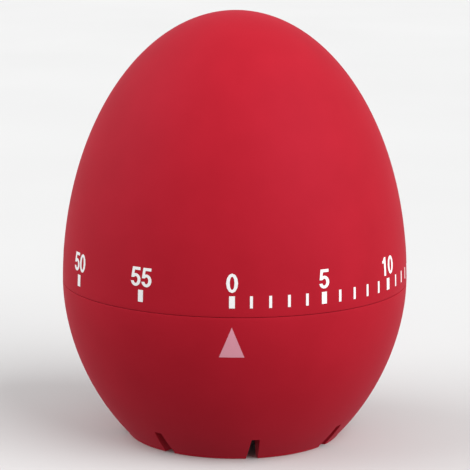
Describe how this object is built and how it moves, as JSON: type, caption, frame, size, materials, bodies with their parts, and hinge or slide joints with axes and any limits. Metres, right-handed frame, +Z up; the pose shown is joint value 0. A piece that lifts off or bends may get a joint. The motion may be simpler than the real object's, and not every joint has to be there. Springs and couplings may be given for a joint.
{
  "type": "kitchen timer",
  "caption": "Egg-shaped clockwork kitchen timer: the numbered upper half turns to set it, with a movement, bell and hammer inside.",
  "frame": {"origin": "centre of the foot rim, on the surface the timer stands on", "axes": "+Z up along the egg's axis, -Y towards the front, where the pointer is, +X to the right seen from the front"},
  "size_m": [0.06, 0.06, 0.074],
  "materials": {
    "soft_touch_red": "soft-touch rubberised red paint on ABS",
    "black_abs": "fine moulded grain",
    "white_nylon": "natural nylon",
    "brass": "rolled sheet, satin",
    "steel": "turned",
    "spring_steel": "blued",
    "bell_plate": "nickel plated"
  },
  "bodies": {
    "root": {"lower_shell": "soft_touch_red", "base_cover": "black_abs", "base_screw_1": "steel", "base_screw_2": "steel", "base_screw_3": "steel", "lower_plate": "brass", "upper_plate": "brass", "plate_screw_1": "steel", "plate_screw_2": "steel", "plate_screw_3": "steel", "stop_pin": "steel", "pillar_1": "brass", "pillar_2": "brass", "pillar_3": "brass", "pillar_nut_1": "steel", "pillar_nut_2": "steel", "pillar_nut_3": "steel", "bell": "bell_plate", "bell_post": "brass", "bell_screw": "steel", "mainspring": "spring_steel", "hairspring": "spring_steel", "hairspring_stud": "steel", "hammer_spring": "spring_steel"},
    "dial": {"upper_shell": "soft_touch_red", "drive_disc": "white_nylon", "disc_screw_1": "steel", "disc_screw_2": "steel", "disc_screw_3": "steel", "main_arbor": "steel", "ratchet_wheel": "steel", "main_wheel": "brass", "click": "steel", "click_rivet": "steel", "click_spring": "spring_steel", "click_spring_rivet": "steel", "trip_cam": "steel"},
    "second_arbor": {"second_pinion": "steel", "second_wheel": "brass"},
    "third_arbor": {"third_pinion": "steel", "third_wheel": "brass"},
    "escape_arbor": {"escape_pinion": "steel", "escape_wheel": "brass"},
    "pallet": {"pallet_arbor": "steel", "pallet_lever": "brass", "pallet_pin_1": "steel", "pallet_pin_2": "steel"},
    "balance": {"balance_staff": "steel", "balance_wheel": "brass", "impulse_roller": "brass", "impulse_pin": "steel"},
    "hammer": {"hammer_arbor": "steel", "hammer_arm": "steel", "hammer_head": "brass", "trip_lever": "steel"}
  },
  "joints": [
    {"name": "dial_turn", "type": "hinge", "parent": "root", "child": "dial", "pos_m": [0, 0, 0], "axis": [0, 0, -1], "range_deg": [0, 352.5], "deforming": ["mainspring"]},
    {"name": "second_spin", "type": "hinge", "parent": "root", "child": "second_arbor", "pos_m": [0.0126, 0, 0], "axis": [0, 0, -1], "continuous": true},
    {"name": "third_spin", "type": "hinge", "parent": "root", "child": "third_arbor", "pos_m": [0.01042, 0.00935, 0], "axis": [0, 0, -1], "continuous": true},
    {"name": "escape_spin", "type": "hinge", "parent": "root", "child": "escape_arbor", "pos_m": [0.00497, 0.01574, 0], "axis": [0, 0, -1], "continuous": true},
    {"name": "balance_swing", "type": "hinge", "parent": "root", "child": "balance", "pos_m": [-0.00757, 0.01353, 0], "axis": [0, 0, 1], "range_deg": [-24, 24], "stiffness_Nm_per_rad": 0.000004, "deforming": ["hairspring"]},
    {"name": "pallet_rock", "type": "hinge", "parent": "root", "child": "pallet", "pos_m": [-0.0009, 0.01698, 0], "axis": [0, 0, 1], "range_deg": [-6, 6]},
    {"name": "hammer_swing", "type": "hinge", "parent": "root", "child": "hammer", "pos_m": [-0.01638, -0.01147, 0], "axis": [0, 0, 1], "range_deg": [0, 5.4], "stiffness_Nm_per_rad": 0.001, "deforming": ["hammer_spring"]}
  ],
  "couplings": [
    {"joint": "second_spin", "follows": "dial_turn", "ratio": -8},
    {"joint": "third_spin", "follows": "dial_turn", "ratio": 56},
    {"joint": "escape_spin", "follows": "dial_turn", "ratio": -336},
    {"joint": "pallet_rock", "follows": "balance_swing", "ratio": -0.25}
  ]
}
